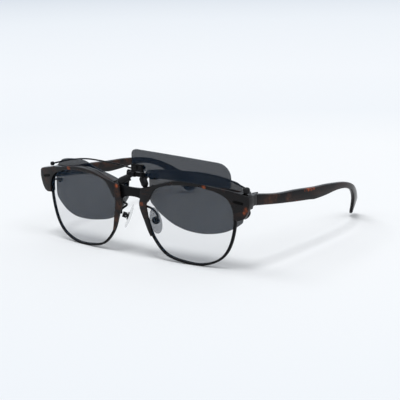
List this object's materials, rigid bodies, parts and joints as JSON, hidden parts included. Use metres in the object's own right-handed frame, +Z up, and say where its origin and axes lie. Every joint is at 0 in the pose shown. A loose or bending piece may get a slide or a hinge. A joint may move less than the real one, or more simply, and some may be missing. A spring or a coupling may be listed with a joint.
{
  "type": "clip-on eyeglasses",
  "caption": "Browline eyeglasses with clear lenses, dark temples that fold, nose pads on wire arms, and a dark clip-on with a lens that flips up on a bridge hinge.",
  "frame": {"origin": "on the ground, under the middle of the bounding box, with the temples open", "axes": "+X to the wearer's left, +Y back along the temples, +Z up"},
  "size_m": [0.152, 0.1484, 0.0604],
  "materials": {
    "tortoise_acetate": "polished dark tortoise",
    "black_metal": "satin black",
    "polished_steel": "polished",
    "clear_lens": "clear polished",
    "dark_lens": "dark grey polished",
    "clear_silicone": "clear soft",
    "black_rubber": "matt black"
  },
  "bodies": {
    "frame": {"bridge": "black_metal", "brow_left": "tortoise_acetate", "brow_right": "tortoise_acetate", "rim_left": "black_metal", "rim_right": "black_metal", "lens_left": "clear_lens", "lens_right": "clear_lens", "end_inlay_left": "polished_steel", "end_inlay_right": "polished_steel", "front_hinge_left": "black_metal", "front_hinge_right": "black_metal", "hinge_screw_left": "polished_steel", "hinge_screw_right": "polished_steel", "pad_arm_left": "black_metal", "pad_arm_right": "black_metal", "pad_box_left": "black_metal", "pad_box_right": "black_metal", "pad_screw_left": "polished_steel", "pad_screw_right": "polished_steel"},
    "temple_left_arm": {"temple_left": "tortoise_acetate", "temple_core_left": "polished_steel", "temple_hinge_left": "black_metal"},
    "temple_right_arm": {"temple_right": "tortoise_acetate", "temple_core_right": "polished_steel", "temple_hinge_right": "black_metal"},
    "pad_left": {"nose_pad_left": "clear_silicone", "pad_mount_left": "black_metal"},
    "pad_right": {"nose_pad_right": "clear_silicone", "pad_mount_right": "black_metal"},
    "clip": {"clip_barrel": "black_metal", "flip_bracket": "black_metal", "flip_pin": "polished_steel", "flip_spring": "polished_steel", "barrel_knob_left": "black_metal", "barrel_knob_right": "black_metal", "clip_leg_left": "black_metal", "clip_leg_right": "black_metal", "foot_sleeve_left": "black_rubber", "foot_sleeve_right": "black_rubber", "clip_lens_left": "dark_lens", "clip_lens_right": "dark_lens", "clip_plate_left": "black_metal", "clip_plate_right": "black_metal", "clip_rivet_left": "black_metal", "clip_rivet_right": "black_metal", "clip_wire_left": "black_metal", "clip_wire_right": "black_metal", "upper_grip_left": "black_rubber", "upper_grip_right": "black_rubber", "lower_hook_left": "black_metal", "lower_hook_right": "black_metal", "hook_rivet_left": "black_metal", "hook_rivet_right": "black_metal"},
    "flip": {"flip_lens": "dark_lens", "flip_lug": "black_metal", "flip_rivet_inner": "black_metal", "flip_rivet_outer": "black_metal"}
  },
  "joints": [
    {"name": "temple_fold_left", "type": "hinge", "parent": "frame", "child": "temple_left_arm", "pos_m": [0.06645, -0.05503, 0.0376], "axis": [0, 0.1072, 0.9942], "range_deg": [0, 87]},
    {"name": "temple_fold_right", "type": "hinge", "parent": "frame", "child": "temple_right_arm", "pos_m": [-0.06645, -0.05503, 0.0376], "axis": [0, -0.1072, -0.9942], "range_deg": [0, 70]},
    {"name": "pad_rock_left", "type": "hinge", "parent": "frame", "child": "pad_left", "pos_m": [0.01077, -0.06112, 0.01984], "axis": [0.6131, 0.7847, 0.0913], "range_deg": [-8, 8]},
    {"name": "pad_rock_right", "type": "hinge", "parent": "frame", "child": "pad_right", "pos_m": [-0.01077, -0.06112, 0.01984], "axis": [-0.6131, 0.7847, 0.0913], "range_deg": [-8, 8]},
    {"name": "clip_lift", "type": "slide", "parent": "frame", "child": "clip", "axis": [0, 0, 1], "range_m": [0, 0.02], "deforming": ["lower_hook_left", "lower_hook_right"]},
    {"name": "flip_up", "type": "hinge", "parent": "clip", "child": "flip", "pos_m": [0.007, -0.07223, 0.0469], "axis": [1, 0, 0], "range_deg": [0, 180]}
  ]
}
